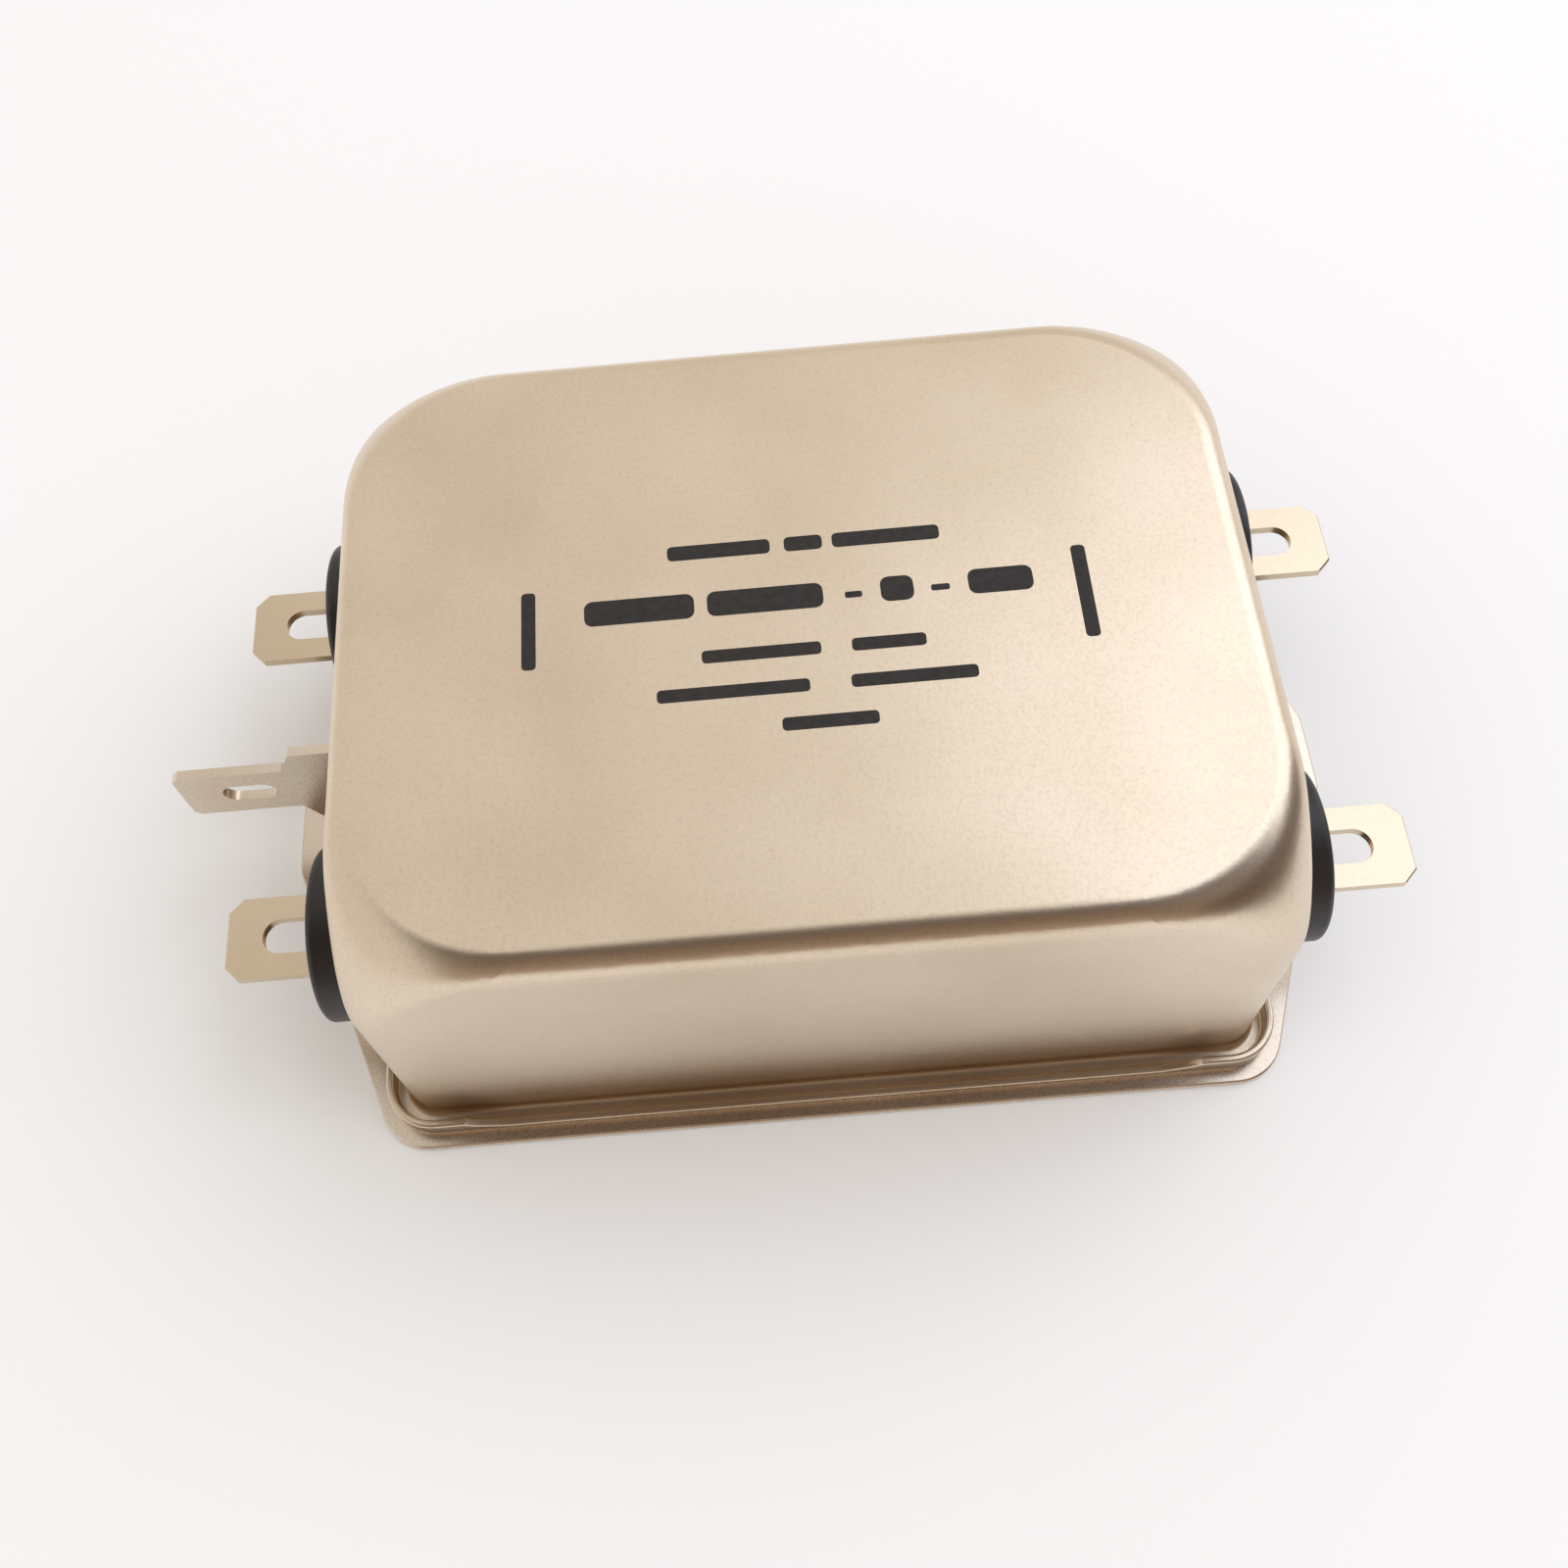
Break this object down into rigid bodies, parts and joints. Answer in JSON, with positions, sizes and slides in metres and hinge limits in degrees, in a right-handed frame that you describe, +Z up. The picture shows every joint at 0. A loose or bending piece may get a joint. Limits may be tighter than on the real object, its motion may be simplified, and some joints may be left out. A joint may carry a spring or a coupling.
{
  "type": "power line filter",
  "caption": "Chassis-mounted single-phase power line filter in a drawn steel can, with slotted mounting ears, quick-connect blades at both ends and an earth blade at the line end.",
  "frame": {"origin": "in the mounting plane, midway between the two ear slots", "axes": "+Z up out of the mounting plane through the can; +X towards the load end; the line end and its earth blade are at -X"},
  "size_m": [0.0932, 0.054, 0.0303],
  "materials": {
    "can_plating": "satin tin-nickel plating on drawn steel",
    "plate_plating": "bright plating on punched steel",
    "blade_plating": "tinned brass strip",
    "bushing_moulding": "moulded glass-filled nylon",
    "liner_board": "pressboard",
    "cast_resin": "cast filled epoxy",
    "core_coating": "coated ferrite",
    "divider_board": "glass-fibre board",
    "winding_wire": "enamelled copper",
    "film_capacitor_box": "moulded box",
    "disc_capacitor_coat": "dipped ceramic disc",
    "resistor_coat": "lacquered film resistor"
  },
  "bodies": {
    "root": {"base_insulator": "liner_board", "base_plate": "plate_plating", "can": "can_plating", "can_liner": "liner_board", "choke_core": "core_coating", "choke_divider": "divider_board", "choke_winding_a": "winding_wire", "choke_winding_b": "winding_wire", "discharge_resistor": "resistor_coat", "earth_blade": "blade_plating", "earth_lead": "winding_wire", "line_blade_a": "blade_plating", "line_blade_b": "blade_plating", "line_bushing_a": "bushing_moulding", "line_bushing_b": "bushing_moulding", "line_lead_a": "winding_wire", "line_lead_b": "winding_wire", "line_x_capacitor": "film_capacitor_box", "load_blade_a": "blade_plating", "load_blade_b": "blade_plating", "load_bushing_a": "bushing_moulding", "load_bushing_b": "bushing_moulding", "load_lead_a": "winding_wire", "load_lead_b": "winding_wire", "load_x_capacitor": "film_capacitor_box", "potting_compound": "cast_resin", "y_capacitor_a": "disc_capacitor_coat", "y_capacitor_b": "disc_capacitor_coat"}
  },
  "joints": []
}
